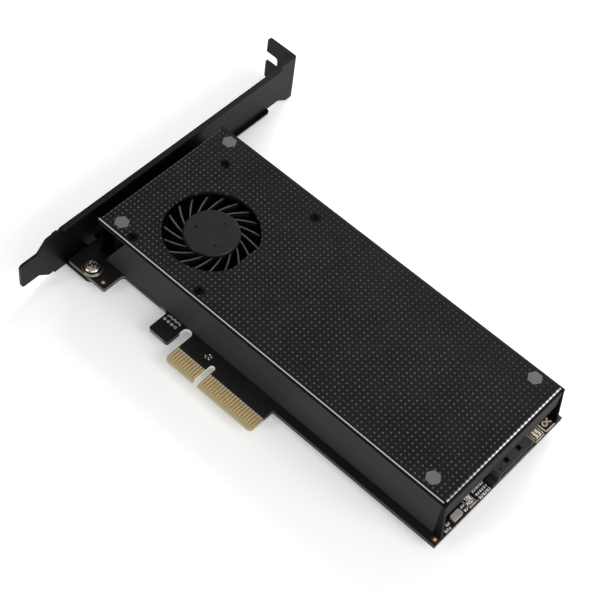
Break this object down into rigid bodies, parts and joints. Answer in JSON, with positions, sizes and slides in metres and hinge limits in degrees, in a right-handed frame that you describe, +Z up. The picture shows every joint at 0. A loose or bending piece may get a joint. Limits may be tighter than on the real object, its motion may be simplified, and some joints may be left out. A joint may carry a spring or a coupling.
{
  "type": "nvme adapter card",
  "caption": "Low-profile expansion card with a slotted bracket, a folded dark cover with a round blower inlet, an edge connector tongue and small parts along its far end.",
  "frame": {"origin": "middle of the key notch, at the tips of the edge contacts, on the upper face of the board", "axes": "+X away from the bracket, +Y away from the edge contacts, +Z up from the component side"},
  "size_m": [0.1543, 0.12, 0.0206],
  "materials": {
    "board": "satin solder mask",
    "gold": "plated",
    "bracket": "satin black",
    "steel": "bright",
    "cover": "dark satin with a fine dotted pattern",
    "standoff": "matte",
    "black_screw": "black",
    "fan_frame": "matte",
    "impeller": "matte",
    "sintered": "matte",
    "magnet": "matte",
    "core": "matte",
    "winding": "enamelled",
    "header": "matte",
    "black_plastic": "matte",
    "shell": "satin",
    "can": "bright",
    "ceramic": "matte",
    "capacitor": "matte",
    "tin": "bright",
    "light": "gloss"
  },
  "bodies": {
    "card": {"circuit_board": "board", "edge_contacts": "gold", "bracket": "bracket", "bracket_screws": "steel", "cover": "cover", "cover_standoffs": "standoff", "standoff_screws": "steel", "fan_screws": "black_screw", "fan_housing": "fan_frame", "fan_bearing": "sintered", "stator_core": "core", "stator_coils": "winding", "fan_header": "header", "drive_socket": "black_plastic", "drive_socket_contacts": "gold", "drive_standoff": "steel", "drive_screw": "steel", "cable_port_shell": "shell", "cable_port_insert": "black_plastic", "cable_port_contacts": "gold", "crystal_can": "can", "oscillator": "ceramic", "chip_capacitors": "capacitor", "capacitor_ends": "tin", "end_chip": "black_plastic", "status_light": "light", "controller_chip": "black_plastic", "regulator_chip": "black_plastic", "power_inductor": "magnet"},
    "rotor": {"fan_impeller": "impeller", "fan_shaft": "steel", "rotor_magnet": "magnet"}
  },
  "joints": [
    {"name": "fan_spin", "type": "hinge", "parent": "card", "child": "rotor", "pos_m": [-0.0268, 0.0337, 0.0108], "axis": [0, 0, 1], "continuous": true}
  ]
}
